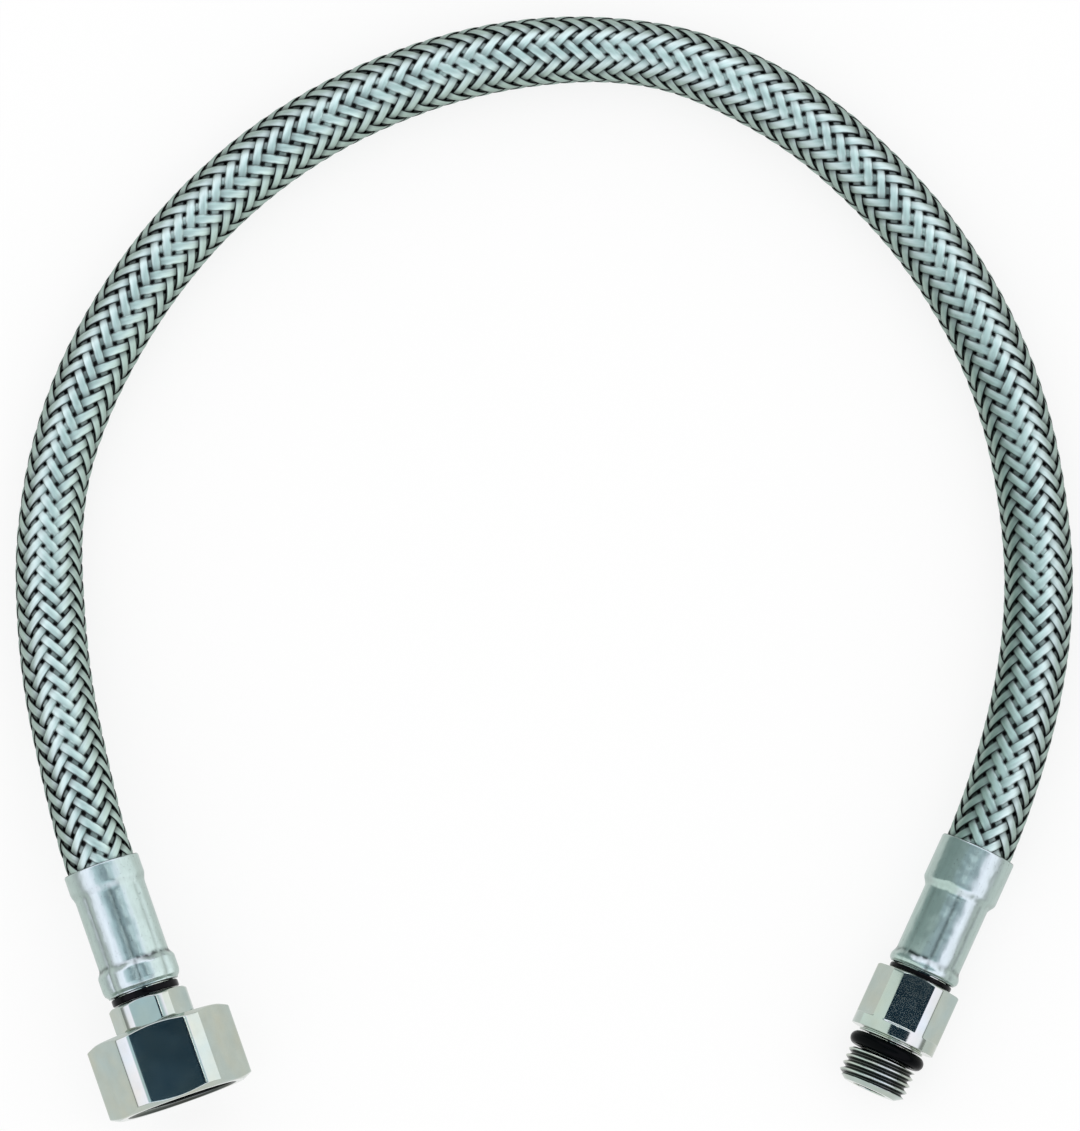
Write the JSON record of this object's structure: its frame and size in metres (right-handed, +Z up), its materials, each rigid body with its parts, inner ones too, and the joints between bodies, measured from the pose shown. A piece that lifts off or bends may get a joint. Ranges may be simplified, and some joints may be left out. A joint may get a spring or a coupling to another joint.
{
  "type": "connection hose",
  "caption": "Steel-braided flexible water connection hose with a swivelling hexagonal union nut on one end and a threaded, O-ring sealed nipple on the other, lying in an open horseshoe bend.",
  "frame": {"origin": "on the surface the hose lies on, under the middle of the two end fittings' common box", "axes": "+X from the nut end to the threaded end, +Y towards the closed side of the horseshoe, +Z up"},
  "size_m": [0.1952, 0.2053, 0.025],
  "materials": {
    "braid_steel": "bright drawn wire braid",
    "ferrule_steel": "bright pressed sheet",
    "nickel": "bright nickel plating",
    "hose_rubber": "matte black",
    "seal_rubber": "satin black",
    "black_plastic": "glossy black"
  },
  "bodies": {
    "root": {"inner_tube": "hose_rubber", "braid_sleeve": "braid_steel", "nut_ferrule": "ferrule_steel", "nut_spacer_ring": "black_plastic", "nut_nipple": "nickel", "plug_ferrule": "ferrule_steel", "plug_spacer_ring": "black_plastic", "plug_nipple": "nickel", "plug_o_ring": "seal_rubber"},
    "seal": {"nut_gasket": "seal_rubber"},
    "nut": {"union_nut": "nickel"}
  },
  "joints": [
    {"name": "nut_slide", "type": "slide", "parent": "root", "child": "seal", "axis": [0.3305, -0.9438, 0], "range_m": [0, 0.001]},
    {"name": "nut_spin", "type": "hinge", "parent": "seal", "child": "nut", "pos_m": [-0.0805, 0.0204, 0.0125], "axis": [0.3305, -0.9438, 0], "continuous": true}
  ]
}
